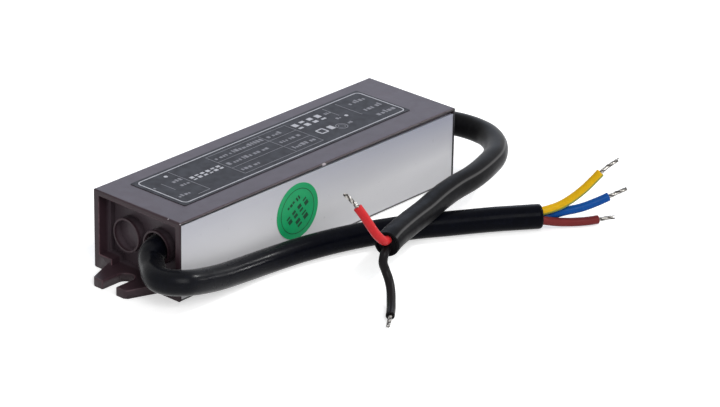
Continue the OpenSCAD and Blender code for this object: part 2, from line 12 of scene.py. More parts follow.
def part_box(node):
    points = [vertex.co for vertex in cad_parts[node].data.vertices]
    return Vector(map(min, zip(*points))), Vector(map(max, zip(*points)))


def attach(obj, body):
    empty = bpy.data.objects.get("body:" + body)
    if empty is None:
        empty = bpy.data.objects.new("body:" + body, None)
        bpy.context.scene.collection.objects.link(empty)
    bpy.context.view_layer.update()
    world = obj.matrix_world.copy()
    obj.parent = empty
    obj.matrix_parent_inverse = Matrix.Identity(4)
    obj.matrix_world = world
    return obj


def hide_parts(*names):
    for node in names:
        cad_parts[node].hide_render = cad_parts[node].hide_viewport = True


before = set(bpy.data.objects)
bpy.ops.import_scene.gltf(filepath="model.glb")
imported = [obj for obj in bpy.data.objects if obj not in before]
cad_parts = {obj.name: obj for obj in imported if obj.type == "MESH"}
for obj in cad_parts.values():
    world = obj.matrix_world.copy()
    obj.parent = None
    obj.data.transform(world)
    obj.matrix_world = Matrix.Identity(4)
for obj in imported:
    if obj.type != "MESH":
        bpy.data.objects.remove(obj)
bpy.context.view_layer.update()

bl_info = {
    "name": "Waterproof Power Supply",
    "version": (1, 0, 0),
    "blender": (4, 5, 0),
    "location": "3D View > Sidebar > Power Supply",
    "description": "Dresses a potted power supply with its materials, print and leads",
    "category": "Object",
}

MM = 0.001
BODY = "root"
# Distance of the case's end faces from its middle
END_FACE = 51 * MM
# Length of a lead that one unit of its texture coordinates covers
UV_LENGTH = 20 * MM
# Thickness of the printed ink
INK = 0.012 * MM
# Shares of a radius that the leads' skins keep to, within the CAD model's box, and their wobble
JACKET_SCALE, CREASED_SCALE, JACKET_WOBBLE = 0.992, 0.99, 0.006
CORE_SCALE, CORE_WOBBLE = 0.99, 0.01
# Lumps per metre in the skins of the jackets and of the cores
JACKET_LUMPS, CORE_LUMPS = 160, 500
# The crease along the output jacket: its place round it and its width, in degrees
CREASE_TURN, CREASE_WIDTH = 42, 4
# Shares of the jacket's length where the crease starts, and over which it rises
CREASE_START, CREASE_RISE = 0.28, 0.08
# The crease's height as a share of the radius, and how much it is paled as a painted highlight
CREASE_HEIGHT, CREASE_HIGHLIGHT = 0.01, 0.5


def metres(*points):
    """Points in metres, from points in millimetres."""
    return [tuple(value / 1000 for value in point) for point in points]


# The leads' routes in millimetres, from the inner end of each jacket to its cut end
MAINS_ROUTE = metres(
    (-45, -4.6, 10.7), (-47.4, -4.6, 10.7), (-49, -4.6, 10.5), (-50.4, -4.8, 9.8),
    (-51.6, -5.6, 8.85), (-53.5, -8.1, 7.9), (-55.3, -10.6, 7.5), (-56, -12.6, 7.3),
    (-55.7, -14.4, 7.2), (-54.9, -16.1, 7.2), (-53.6, -17.6, 7.2), (-52, -18.6, 7),
    (-47.8, -18.9, 6.1), (-41.1, -18.8, 4.9), (-33.7, -18.6, 4.1), (-23.8, -18.6, 3.4),
    (-13.8, -19.9, 3.3), (-3.8, -22.3, 3.3), (6.2, -25.9, 3.3), (16.2, -30.8, 3.3),
    (25.4, -36.7, 3.3), (34.5, -42.7, 3.3), (41, -47.5, 3.3), (44.6, -50.2, 3.3),
)
OUTPUT_ROUTE = metres(
    (45, 4.6, 10.7), (49, 4.6, 10.7), (53.4, 4.7, 10.6), (56.8, 3.5, 10.4), (59.6, 0.9, 10.1),
    (61.5, -2.7, 10.3), (63.2, -7, 10.2), (63.9, -11.9, 10), (63, -16.9, 9.9), (59.6, -22, 9.8),
    (54.1, -26.3, 9.8), (47.6, -28.9, 9.8), (39.5, -31, 9.8), (30.9, -32.1, 9.8), (22.7, -34, 9.9),
    (14.4, -36.8, 10.3), (5.7, -39.8, 11.2), (-2.5, -43, 12.2), (-7.8, -45.2, 12.8),
    (-11.4, -46.7, 12.8),
)
# Each core's route in millimetres, from its jacket's cut face to the end of its insulation, and then the
# tip of its strands
CORES = {
    "earth": metres(
        (44.6, -50.2, 4.65), (48, -52.8, 5.8), (50.7, -54.8, 7.6), (53.1, -56.5, 9.8),
        (54.9, -57.7, 11.8), (57, -59.1, 14.4), (61.6, -61.6, 17.6),
    ),
    "neutral": metres(
        (45.305, -49.26, 2.6), (47.3, -50.8, 2.8), (49.6, -53.4, 4), (52.9, -56.3, 4.9),
        (56.2, -58.6, 6.1), (59.1, -60.5, 7.4), (62.8, -63.6, 9.5),
    ),
    "live": metres(
        (43.895, -51.14, 2.6), (47.4, -53.5, 1.8), (50.9, -55.7, 1.35), (53.9, -57.8, 1.3),
        (56.6, -59.4, 1.4), (60.6, -61.9, 1.6),
    ),
    "positive": metres(
        (-11.4, -46.7, 14), (-12.9, -47.2, 14.5), (-14.3, -47.1, 15.6), (-15.7, -46.6, 17.4),
        (-16.6, -45.5, 19.6), (-17.4, -44.4, 21.7), (-18.2, -42.9, 23.9), (-20.3, -40.3, 27.4),
    ),
    "negative": metres(
        (-11.4, -46.7, 11.6), (-12.9, -47.3, 10.8), (-13.6, -47.6, 8.9), (-13.4, -48.3, 7),
        (-13.8, -49.8, 5), (-15.1, -51.6, 3.4), (-17.3, -53.7, 2.2), (-19.9, -56, 1.5),
        (-22.7, -58.2, 1.3), (-27.3, -61.6, 1),
    ),
}


def linear(code, alpha=1.0):
    """An sRGB hex colour as the linear values that a shader takes."""
    parts = [int(code[i:i + 2], 16) / 255 for i in (1, 3, 5)]
    return [c / 12.92 if c <= 0.04045 else ((c + 0.055) / 1.055) ** 2.4 for c in parts] + [alpha]


def colour_property(name, code, coloured):
    """A colour that a user can change, written as an sRGB hex value."""
    return FloatVectorProperty(
        name=name, description="Colour of " + coloured, subtype="COLOR", size=4, min=0, max=1,
        default=linear(code),
    )


def size_property(name, millimetres, description):
    """A length that a user can change, written in millimetres and kept in metres."""
    return FloatProperty(
        name=name, description=description, default=millimetres * MM, min=0, unit="LENGTH", precision=5
    )


def angle_property(name, degrees, description):
    """An angle that a user can change, written in degrees and kept in radians."""
    return FloatProperty(name=name, description=description, default=math.radians(degrees), subtype="ANGLE")


def level_property(name, level, description):
    """A number that a user can change, such as a lamp's power."""
    return FloatProperty(name=name, description=description, default=level, min=0)


class CaseSettings(bpy.types.PropertyGroup):
    """Colours and edges of the case, the sheet, the label and the sticker."""

    plastic: colour_property("Case plastic", "#35262c", "the moulded case")
    edge_wear_and_highlight: colour_property("Edge wear and highlight", "#7d5a62", "the rubbed edges and their painted highlight")
    aluminium: colour_property("Aluminium", "#d1d1d4", "the rolled sheet")
    film: colour_property("Label film", "#1d1b1e", "the label's ground")
    ink: colour_property("Ink", "#b9b9bf", "the printed frame and the large marks")
    faint_ink: colour_property("Small print", "#7b7a80", "the small print")
    sticker: colour_property("Sticker", "#189a60", "the round sticker's ground")
    sticker_ink: colour_property("Sticker ink", "#083e27", "the sticker's print")
    foot_round: size_property("Foot rounding", 0.35, "Rounding of the feet's edges")
    rim_round: size_property("Rim rounding", 0.2, "Rounding of the pockets' rims on the end faces")
    edge_round: size_property("Edge rounding", 0.1, "Rounding of the other moulded edges")
    sheet_round: size_property("Sheet rounding", 0.05, "Rounding of the sheet's cut edges")
    frame_line: size_property("Frame line", 0.34, "Width of the label's frame line")


class LeadSettings(bpy.types.PropertyGroup):
    """Sizes and colours of the two leads."""

    jacket: size_property("Jacket diameter", 6.5, "Outer diameter of both jackets")
    jacket_wall: size_property("Jacket wall", 0.75, "Thickness of the jackets")
    core: size_property("Core diameter", 2.3, "Diameter over a core's insulation")
    core_wall: size_property("Insulation", 0.5, "Thickness of a core's insulation")
    wire: size_property("Wire diameter", 0.37, "Diameter of one drawn wire of a strand")
    wires: IntProperty(name="Wires", description="Wires drawn in each bare end", default=7, min=3, max=12)
    mains_jacket: colour_property("Mains jacket", "#05060d", "the mains lead")
    output_jacket: colour_property("Output jacket", "#111113", "the output lead")
    earth: colour_property("Earth core", "#deae14", "the earth core")
    earth_stripe: colour_property("Earth stripe", "#6f8f4a", "the stripe under the earth core")
    neutral: colour_property("Neutral core", "#0b4b97", "the neutral core")
    live: colour_property("Live core", "#742a2b", "the live core")
    positive: colour_property("Positive core", "#c42d31", "the positive core")
    negative: colour_property("Negative core", "#141113", "the negative core")


class StageSettings(bpy.types.PropertyGroup):
    """The camera and the lamps."""

    azimuth: angle_property("Azimuth", -48.409, "Turn of the camera round the object")
    elevation: angle_property("Elevation", 24.283, "Height of the camera's view over the floor")
    roll: angle_property("Roll", 1.132, "Turn of the picture about its centre")
    place: FloatVectorProperty(
        name="Camera place", description="Where the camera stands", subtype="TRANSLATION",
        size=3, default=(-0.573588, -0.536698, 0.360124),
    )
    lens: FloatProperty(name="Lens", description="Focal length in millimetres", default=168.371, min=1)
    key_power: level_property("Key lamp", 6.2, "Power of the soft lamp beside the camera")
    strip_power: level_property("Strip lamps", 3.0, "Power of the small lamps that light the leads")
    back_power: level_property("Back lamp", 2.9, "Power of the lamp behind")
    room_light: level_property("Room light", 0.45, "Brightness of the room")


def add_node(tree, kind, inputs=None, **settings):
    """Adds a shader node, sets what is given and links each input that is given as a socket."""
    node = tree.nodes.new(kind)
    for name, value in settings.items():
        setattr(node, name, value)
    for name, value in (inputs or {}).items():
        if isinstance(value, bpy.types.NodeSocket):
            tree.links.new(value, node.inputs[name])
        else:
            node.inputs[name].default_value = value
    return node


def new_material(name, **inputs):
    """A material with a plain Principled shader whose constant sockets are set directly."""
    material = bpy.data.materials.new(name)
    material.use_nodes = True
    shader = material.node_tree.nodes["Principled BSDF"]
    for socket, value in inputs.items():
        shader.inputs[socket.replace("_", " ")].default_value = value
    return material, material.node_tree, shader


def noise_at(tree, coordinates, size, detail=4.0, stretch=(1, 1, 1)):
    """Noise with lumps about size across, in metres. Stretch divides the pattern along X, Y and Z."""
    scale = [1 / (size * s) for s in stretch]
    mapping = add_node(tree, "ShaderNodeMapping", {"Vector": coordinates, "Scale": scale})
    return add_node(
        tree, "ShaderNodeTexNoise",
        {"Vector": mapping.outputs["Vector"], "Scale": 1.0, "Detail": detail, "Roughness": 0.55},
    ).outputs["Fac"]


def ramp(tree, value, low, high, start=0.35, end=0.65):
    """A value spread between two numbers."""
    return add_node(
        tree, "ShaderNodeMapRange",
        {"Value": value, "From Min": start, "From Max": end, "To Min": low, "To Max": high},
    ).outputs["Result"]


def blend_colours(tree, factor, first, second):
    """Mixes two colours, each given as a value or as a socket."""
    inputs = {0: factor, 6: first, 7: second}
    return add_node(tree, "ShaderNodeMix", inputs, data_type="RGBA").outputs[2]


def shade(colour, factor):
    """A colour made darker or lighter."""
    return [min(1.0, c * factor) for c in colour[:3]] + [1.0]


def wandering(tree, pattern, colour, low, high):
    """A colour that wanders with a pattern between two shades of itself."""
    return blend_colours(tree, ramp(tree, pattern, 0, 1), shade(colour, low), shade(colour, high))


def maths(tree, operation, *values):
    """The result of a Math node on values or sockets."""
    return add_node(tree, "ShaderNodeMath", dict(enumerate(values)), operation=operation).outputs[0]


def axes_of(tree, vector):
    """The X, Y and Z outputs of a vector."""
    return add_node(tree, "ShaderNodeSeparateXYZ", {"Vector": vector}).outputs


def attribute(tree, name):
    """The value of an attribute that the mesh carries."""
    return add_node(tree, "ShaderNodeAttribute", attribute_name=name).outputs["Fac"]


def drive(tree, shader, **patterns):
    """Links each pattern to the shader's socket of the same name."""
    for socket, pattern in patterns.items():
        tree.links.new(pattern, shader.inputs[socket.replace("_", " ")])


def object_coordinates(tree):
    return add_node(tree, "ShaderNodeTexCoord").outputs["Object"]


def lead_coordinates(tree):
    """Texture coordinates of a lead: X runs round it, and Y along it."""
    return add_node(tree, "ShaderNodeUVMap", uv_map="UVMap").outputs["UV"]


def spot(tree, at, place, radius):
    """A mask of a small mark with a ragged edge, its place and radius in millimetres."""
    size = radius * MM
    inputs = {0: at, 1: [p * MM for p in place]}
    away = add_node(tree, "ShaderNodeVectorMath", inputs, operation="DISTANCE").outputs["Value"]
    ragged = maths(tree, "MULTIPLY_ADD", noise_at(tree, at, size, 2), size, away)
    return ramp(tree, ragged, 1, 0, size, 1.4 * size)


def background_rays(tree):
    """1 where the camera, a reflection or a transmission meets the background, and 0 for other light."""
    rays = add_node(tree, "ShaderNodeLightPath").outputs
    mirrored = maths(tree, "MAXIMUM", rays["Is Camera Ray"], rays["Is Glossy Ray"])
    return maths(tree, "MAXIMUM", mirrored, rays["Is Transmission Ray"])


def add_bump(tree, shader, height, distance, strength):
    """Raises the surface by a height pattern, distance in metres."""
    inputs = {"Height": height, "Distance": distance, "Strength": strength}
    drive(tree, shader, Normal=add_node(tree, "ShaderNodeBump", inputs).outputs["Normal"])


# Materials


# Chipped spots on the case: place and radius in millimetres
CHIPS = (
    ((-50.8, -10.8, 21.1), 0.26), ((-50.9, -14.9, 21.0), 0.28),
    ((0.2, -15.2, 20.7), 0.85), ((0.3, -15.2, 21.1), 0.5),
)
# The painted light on the pockets' floors fades out over these distances from the case's middle, and these
# heights
POCKET_FLOOR = (47.9 * MM, 48.6 * MM)
POCKET_TOP = (20.3 * MM, 20.5 * MM)
# The painted shade on the moulding's edge over the near side fades out over these places across the body
NEAR_EDGE_SHADE = (-15.15 * MM, -15.0 * MM)
# The painted dark reflection in the aluminium's upper rear corner grows over these heights, and these
# places along the body
DARK_REFLECTION_HEIGHT = (9 * MM, 20 * MM)
DARK_REFLECTION_LENGTH = (-20 * MM, 45 * MM)
# The painted shade along a fold, a dark line, fades out over these heights, and comes in over these
# distances from the middle
FOLD_HEIGHT = (0.8 * MM, 1.0 * MM)
FOLD_SIDE = (14 * MM, 14.4 * MM)
# How much deeper the dents of a jacket are than its drawn lines
DENT_WEIGHT = 6.0


def moulded_abs(settings):
    """ABS, injection moulded: a satin skin with fine spark texture, cloudy flow marks, and edges paled for
    rubbing and a painted highlight.
    """
    material, tree, shader = new_material("moulded_abs", Specular_IOR_Level=0.25)
    at = object_coordinates(tree)
    axis = axes_of(tree, at)
    colour = wandering(tree, noise_at(tree, at, 9 * MM), settings.plastic, 0.9, 1.1)
    # Paler rounded edges: partly rubbing, partly a painted highlight on the rims
    patchy = ramp(tree, noise_at(tree, at, 1.6 * MM, 3), 0.1, 0.7)
    worn_and_highlit = maths(tree, "MULTIPLY", attribute(tree, "edge"), patchy)
    colour = blend_colours(tree, worn_and_highlit, colour, settings.edge_wear_and_highlight[:])
    # Painted light: the pockets' floors, which lie in shade, made paler
    deep = ramp(tree, maths(tree, "ABSOLUTE", axis["X"]), 1, 0, *POCKET_FLOOR)
    pocket_painted_light = maths(tree, "MULTIPLY", deep, ramp(tree, axis["Z"], 1, 0, *POCKET_TOP))
    colour = blend_colours(tree, pocket_painted_light, colour, linear("#4d4248"))
    # Painted shade: the moulding's outermost faces on the near side darkened
    colour = blend_colours(tree, ramp(tree, axis["Y"], 1, 0, *NEAR_EDGE_SHADE), colour, linear("#1b1b1f"))
    for place, radius in CHIPS:
        colour = blend_colours(tree, spot(tree, at, place, radius), colour, linear("#aaa3a8"))
    drive(tree, shader, Base_Color=colour, Roughness=ramp(tree, noise_at(tree, at, 3 * MM), 0.38, 0.42))
    add_bump(tree, shader, noise_at(tree, at, 0.22 * MM, 2), 0.012 * MM, 0.5)
    return material


def matted_aluminium(settings):
    """Aluminium sheet, rolled and matted: pale, with a painted dark reflection toward its upper rear
    corner, a painted shade along its lower fold, and dark specks.
    """
    material, tree, shader = new_material("matted_aluminium", Metallic=0.15)
    at = object_coordinates(tree)
    axis = axes_of(tree, at)
    sheet = settings.aluminium
    clouds = ramp(tree, noise_at(tree, at, 16 * MM, 3, stretch=(2.5, 1, 1)), 0, 1, 0.3, 0.7)
    tint = blend_colours(tree, clouds, shade(sheet, 0.95), shade(sheet, 1.03))
    # Painted dark reflection: the sheet darker and bluer toward its upper rear corner
    rearward = ramp(tree, axis["X"], 0.55, 1.1, *DARK_REFLECTION_LENGTH)
    dull = maths(tree, "MULTIPLY", ramp(tree, axis["Z"], 0, 1, *DARK_REFLECTION_HEIGHT), rearward)
    tint = blend_colours(tree, dull, tint, linear("#9b9dab"))
    # Painted shade: a dark line along the sheet's lower fold
    outward = ramp(tree, maths(tree, "ABSOLUTE", axis["Y"]), 0, 1, *FOLD_SIDE)
    fold = maths(tree, "MULTIPLY", ramp(tree, axis["Z"], 1, 0, *FOLD_HEIGHT), outward)
    tint = blend_colours(tree, fold, tint, shade(sheet, 0.06))
    specks = ramp(tree, noise_at(tree, at, 1.3 * MM, 1), 0, 0.22, 0.76, 0.8)
    tint = blend_colours(tree, specks, tint, shade(sheet, 0.5))
    grain = noise_at(tree, at, 0.4 * MM, 2, stretch=(6, 1, 1))
    drive(tree, shader, Base_Color=tint, Roughness=ramp(tree, grain, 0.64, 0.68))
    return material


def printed_film(settings):
    """Polyester label film, screen printed all over: satin, with the faint orange peel of the ink."""
    material, tree, shader = new_material("printed_film", Specular_IOR_Level=0.11)
    at = object_coordinates(tree)
    drive(
        tree, shader, Base_Color=wandering(tree, noise_at(tree, at, 7 * MM), settings.film, 0.93, 1.07),
        Roughness=ramp(tree, noise_at(tree, at, 2 * MM), 0.42, 0.52),
    )
    add_bump(tree, shader, noise_at(tree, at, 0.5 * MM, 2), 0.006 * MM, 0.4)
    return material


def printing_ink(name, colour):
    """Screen ink: a matt layer that is thin in places, so its tone wanders."""
    material, tree, shader = new_material(name, Roughness=0.55, Specular_IOR_Level=0.3)
    pattern = noise_at(tree, object_coordinates(tree), 0.6 * MM)
    drive(tree, shader, Base_Color=wandering(tree, pattern, colour, 0.8, 1.0))
    return material


def sticker_paper(settings):
    """Gloss paper sticker: a coated green print with a slight ripple from the glue."""
    material, tree, shader = new_material(
        "sticker_paper", Roughness=0.35, Specular_IOR_Level=0.2, Coat_Weight=0.08, Coat_Roughness=0.2
    )
    at = object_coordinates(tree)
    drive(
        tree, shader, Base_Color=wandering(tree, noise_at(tree, at, 3 * MM), settings.sticker, 0.92, 1.06)
    )
    add_bump(tree, shader, noise_at(tree, at, 2.5 * MM, 2), 0.02 * MM, 0.3)
    return material


def soft_vinyl(name, colour, roughness, gloss, bloom, span, crease=False):
    """Plasticised PVC jacket, extruded: dark and soft, with drawn lines along it and dull patches.

    Gloss and bloom, the dull film on the skin, are each given by the case and toward the cut end. Span is
    the stretch of the lead over which they fade from one to the other.
    """
    material, tree, shader = new_material(name, Sheen_Roughness=0.4)
    at = object_coordinates(tree)
    uv = lead_coordinates(tree)
    along = axes_of(tree, uv)["Y"]
    for socket, (by_case, by_end) in (("Specular IOR Level", gloss), ("Sheen Weight", bloom)):
        shader.inputs[socket].default_value = by_case
        if by_end != by_case:
            fading = ramp(tree, along, by_case, by_end, span[0] / UV_LENGTH, span[1] / UV_LENGTH)
            tree.links.new(fading, shader.inputs[socket])
    dust = ramp(tree, noise_at(tree, at, 1.4 * MM, 5), 0, 1, 0.5, 0.8)
    base = blend_colours(tree, dust, colour[:], shade(colour, 1.9))
    if crease:
        # Painted highlight: the crease's line paled through the tone attribute
        base = blend_colours(tree, attribute(tree, "tone"), base, linear("#7d7c7c"))
    patches = ramp(tree, noise_at(tree, at, 6 * MM, 4), roughness - 0.06, roughness + 0.1)
    drive(tree, shader, Base_Color=base, Roughness=patches)
    drawn = noise_at(tree, uv, 0.03, 3, stretch=(1, 30, 1))
    height = maths(tree, "MULTIPLY_ADD", noise_at(tree, at, 8 * MM, 1), DENT_WEIGHT, drawn)
    add_bump(tree, shader, height, 0.025 * MM, 0.6)
    return material


def core_vinyl(name, colour, stripe=None):
    """Hard PVC insulation: coloured through and glossy, with small nicks and perhaps a stripe."""
    material, tree, shader = new_material(name, Specular_IOR_Level=0.1)
    at = object_coordinates(tree)
    base = wandering(tree, noise_at(tree, at, 1.8 * MM), colour, 0.95, 1.03)
    if stripe:
        turn = axes_of(tree, lead_coordinates(tree))["X"]
        base = blend_colours(tree, ramp(tree, turn, 0, 0.8, 0.76, 0.8), base, stripe[:])
    drive(tree, shader, Base_Color=base, Roughness=ramp(tree, noise_at(tree, at, 0.9 * MM), 0.28, 0.42))
    add_bump(tree, shader, noise_at(tree, at, 0.7 * MM, 3), 0.03 * MM, 0.4)
    return material


def tinned_copper():
    """Copper wire dipped in tin: silver and bright, with a painted dark reflection on some wires of a
    strand.
    """
    material, tree, shader = new_material("tinned_copper", Metallic=1.0)
    spots = noise_at(tree, object_coordinates(tree), 0.35 * MM, 3)
    bright = blend_colours(tree, ramp(tree, spots, 0, 1), linear("#6f6c68"), linear("#d2cfca"))
    # Painted dark reflection on the wires that the tone attribute marks
    colour = blend_colours(tree, attribute(tree, "tone"), bright, linear("#241f1d"))
    drive(tree, shader, Base_Color=colour, Roughness=ramp(tree, spots, 0.4, 0.22))
    return material


# Finishes inside the resin: hex colour, metallic, roughness, grain in millimetres, and the parts
INNER_FINISHES = {
    "epoxy_resin": ("#2c2c2e", 0, 0.45, 2.0, "potting_compound"),
    "polyester_film": ("#c7ab52", 0, 0.25, 6.0, "insulating_film"),
    "solder_mask": ("#14532b", 0, 0.35, 1.0, "circuit_board"),
    "tinned_bronze": ("#b9b4a8", 1.0, 0.35, 0.5, "earth_contact_spring"),
    "glazed_ceramic": ("#b98d5e", 0, 0.3, 0.8, "input_fuse", "snubber_resistor"),
    "boxed_polyester": ("#c79a1e", 0, 0.35, 1.0, "x_capacitor"),
    "sintered_ferrite": ("#46464a", 0.2, 0.6, 0.3, "input_choke_core", "transformer_core"),
    "enamelled_copper": ("#a85a2c", 0.8, 0.3, 0.4, "input_choke_winding", "transformer_winding"),
    "moulded_epoxy": ("#202022", 0, 0.5, 0.3, "bridge_rectifier", "controller_chip", "output_diode"),
    "shrunk_sleeve": (
        "#1b2140", 0, 0.3, 1.5, "bulk_capacitor", "output_capacitor_1", "output_capacitor_2"
    ),
    "phenolic": ("#d8d0c0", 0, 0.5, 0.5, "transformer_bobbin"),
    "white_epoxy": ("#e4e0d4", 0, 0.5, 0.4, "optocoupler"),
    "dipped_lacquer": ("#3f6fa8", 0, 0.3, 0.7, "y_capacitor"),
}


def inner_material(name, code, metallic, roughness, grain):
    """One of the finishes of the buried parts, with a grain of its own real size."""
    material, tree, shader = new_material(name, Metallic=metallic)
    pattern = noise_at(tree, object_coordinates(tree), grain * MM, 3)
    drive(
        tree, shader, Base_Color=wandering(tree, pattern, linear(code), 0.85, 1.1),
        Roughness=ramp(tree, pattern, roughness - 0.06, roughness + 0.06),
    )
    add_bump(tree, shader, pattern, 0.02 * MM, 0.3)
    return material


# Meshes


def link_piece(name, bm, material, smooth_angle=None):
    """Turns a bmesh into an object that rides on the body, and frees the bmesh."""
    mesh = bpy.data.meshes.new(name)
    bm.to_mesh(mesh)
    bm.free()
    mesh.materials.append(material)
    piece = bpy.data.objects.new(name, mesh)
    bpy.context.scene.collection.objects.link(piece)
    if smooth_angle is not None:
        mesh.shade_smooth()
        mesh.set_sharp_from_angle(angle=math.radians(smooth_angle))
    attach(piece, BODY)
    return piece


def set_material(node_name, material):
    """Gives a node of the frame a new material."""
    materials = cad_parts[node_name].data.materials
    materials.clear()
    materials.append(material)


def rounded_copy(node_name, name, passes, material):
    """A copy of a node with its sharp edges rounded off.

    Each pass gives a width, how much the new faces are paled for rubbing and a painted highlight, and a
    test of an edge's middle.
    """
    bm = bmesh.new()
    bm.from_mesh(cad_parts[node_name].data)
    bmesh.ops.remove_doubles(bm, verts=bm.verts, dist=0.002 * MM)
    bmesh.ops.dissolve_limit(
        bm, angle_limit=math.radians(0.5), use_dissolve_boundaries=False, verts=bm.verts, edges=bm.edges
    )
    edge_layer = bm.faces.layers.float.new("edge")
    for width, wear_and_highlight, test in passes:
        sharp = [
            e for e in bm.edges
            if len(e.link_faces) == 2 and e.calc_face_angle(0) > math.radians(40)
            and test((e.verts[0].co + e.verts[1].co) / 2)
        ]
        result = bmesh.ops.bevel(
            bm, geom=sharp, offset=width, offset_type="OFFSET", segments=3, profile=0.5,
            affect="EDGES", clamp_overlap=True, material=-1,
        )
        for face in result["faces"]:
            face[edge_layer] = wear_and_highlight
    bmesh.ops.triangulate(bm, faces=[f for f in bm.faces if len(f.verts) > 4])
    piece = link_piece(name, bm, material, smooth_angle=50)
    piece.modifiers.new("weighted_normals", "WEIGHTED_NORMAL").keep_sharp = True
    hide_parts(node_name)
    return piece


def curve_through(points, step=0.5 * MM):
    """A smooth line through given points, with an even step."""
    points = [Vector(p) for p in points]
    ends = [2 * points[0] - points[1]] + points + [2 * points[-1] - points[-2]]
    dense = []
    for i in range(1, len(ends) - 2):
        a, b, c, d = ends[i - 1:i + 3]
        for k in range(16):
            t = k / 16
            dense.append(
                0.5 * (2 * b + (c - a) * t + (2 * a - 5 * b + 4 * c - d) * t ** 2
                       + (3 * b - a - 3 * c + d) * t ** 3)
            )
    dense.append(points[-1])
    lengths = distances_along(dense)
    count = max(2, round(lengths[-1] / step))
    even, i = [], 0
    for k in range(count + 1):
        want = lengths[-1] * k / count
        while i < len(dense) - 2 and lengths[i + 1] < want:
            i += 1
        share = (want - lengths[i]) / max(lengths[i + 1] - lengths[i], 1e-9)
        even.append(dense[i].lerp(dense[i + 1], share))
    return even


def distances_along(line):
    """The distance travelled along a line at each of its points."""
    travelled = [0.0]
    for a, b in zip(line, line[1:]):
        travelled.append(travelled[-1] + (b - a).length)
    return travelled


def directions_along(line):
    """The direction of a line at each of its points."""
    last = len(line) - 1
    return [(line[min(i + 1, last)] - line[max(i - 1, 0)]).normalized() for i in range(last + 1)]


def across(direction):
    """Two unit vectors across a direction: level to its side, and upward."""
    side = Vector((0, 0, 1)).cross(direction).normalized()
    return side, direction.cross(side)


def sweep(bm, stations, sides, form):
    """Draws a skin over stations of (centre, direction, radius) and closes both ends.

    form(station, angle) returns a factor on the radius there, and a value for the tone attribute, which
    carries painted light: a painted highlight on the jacket's crease and a painted dark reflection on some
    wires.
    """
    uv_layer = bm.loops.layers.uv.get("UVMap") or bm.loops.layers.uv.new("UVMap")
    tone_layer = bm.verts.layers.float.get("tone") or bm.verts.layers.float.new("tone")
    distances = distances_along([centre for centre, _, _ in stations])
    ring_edges, previous = None, None
    for index, (centre, direction, radius) in enumerate(stations):
        side, top = across(direction)
        if previous is None:
            ring = bmesh.ops.create_circle(bm, segments=sides, radius=1.0, cap_ends=False)["verts"]
            ring_edges = list({e for v in ring for e in v.link_edges})
        else:
            made = bmesh.ops.extrude_edge_only(bm, edges=ring_edges)["geom"]
            new_faces = [g for g in made if isinstance(g, bmesh.types.BMFace)]
            new_verts = {g for g in made if isinstance(g, bmesh.types.BMVert)}
            partner = {
                e.other_vert(v): v for v in new_verts for e in v.link_edges
                if e.other_vert(v) not in new_verts
            }
            ring = [partner[v] for v in previous]
            ring_edges = [
                g for g in made if isinstance(g, bmesh.types.BMEdge) and new_verts.issuperset(g.verts)
            ]
            number = {v: k for k, v in enumerate(ring)} | {v: k for k, v in enumerate(previous)}
            for face in new_faces:
                turns = [number[loop.vert] for loop in face.loops]
                wraps = max(turns) - min(turns) > 1
                for loop, k in zip(face.loops, turns):
                    u = (k + sides if wraps and k == 0 else k) / sides
                    distance = distances[index if loop.vert in new_verts else index - 1]
                    loop[uv_layer].uv = (u, distance / UV_LENGTH)
        for k, vert in enumerate(ring):
            angle = 2 * math.pi * k / sides - math.pi / 2
            factor, tone = form(index, angle)
            vert.co = centre + radius * factor * (math.cos(angle) * side + math.sin(angle) * top)
            vert[tone_layer] = tone
        if previous is None:
            bmesh.ops.contextual_create(bm, geom=ring_edges)
        previous = ring
    bmesh.ops.contextual_create(bm, geom=ring_edges)


def stations_with_cut_end(line, radius, wall, depth, rim):
    """Stations of a tube with a rounded rim and a sunk bore at its last end, and where the rim starts."""
    directions, distances = directions_along(line), distances_along(line)
    stations = [
        (point, direction, radius) for point, direction, distance in zip(line, directions, distances)
        if distances[-1] - distance > rim
    ]
    rim_start = len(stations)
    end, direction = line[-1], directions[-1]
    for turn in (0, 30, 60, 90):
        a = math.radians(turn)
        back = rim * (1 - math.sin(a))
        stations.append((end - direction * back, direction, radius - rim * (1 - math.cos(a))))
    inner = radius - wall
    bevel = 0.1 * MM
    for back, reach in ((0.0, inner + bevel), (bevel, inner), (depth, inner)):
        stations.append((end - direction * back, direction, reach))
    return stations, rim_start


def lead_jacket(name, route, vinyl, rim, node_name, crease=False):
    """A round jacket along a route, cut square at its far end, with its inner end closed."""
    settings = bpy.context.scene.supply_leads
    line = curve_through(route)
    stations, rim_start = stations_with_cut_end(
        line, settings.jacket / 2, settings.jacket_wall, depth=0.4 * MM, rim=rim
    )

    def form(index, angle):
        centre = stations[min(index, rim_start)][0]
        turned = Vector((math.cos(angle), math.sin(angle), 0))
        wobble = JACKET_WOBBLE * noise.noise(centre * JACKET_LUMPS + turned)
        if not crease or index > rim_start:
            return JACKET_SCALE + wobble, 0.0
        away = math.degrees(abs(math.remainder(angle - math.radians(CREASE_TURN), 2 * math.pi)))
        fade = min(1.0, max(0.0, (index / rim_start - CREASE_START) / CREASE_RISE))
        ridge = fade * math.exp(-(away / CREASE_WIDTH) ** 2)
        return CREASED_SCALE + wobble + CREASE_HEIGHT * ridge, CREASE_HIGHLIGHT * ridge

    bm = bmesh.new()
    sweep(bm, stations, sides=72, form=form)
    bmesh.ops.recalc_face_normals(bm, faces=bm.faces)
    piece = link_piece(name, bm, vinyl, smooth_angle=45)
    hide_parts(node_name)
    return piece, line


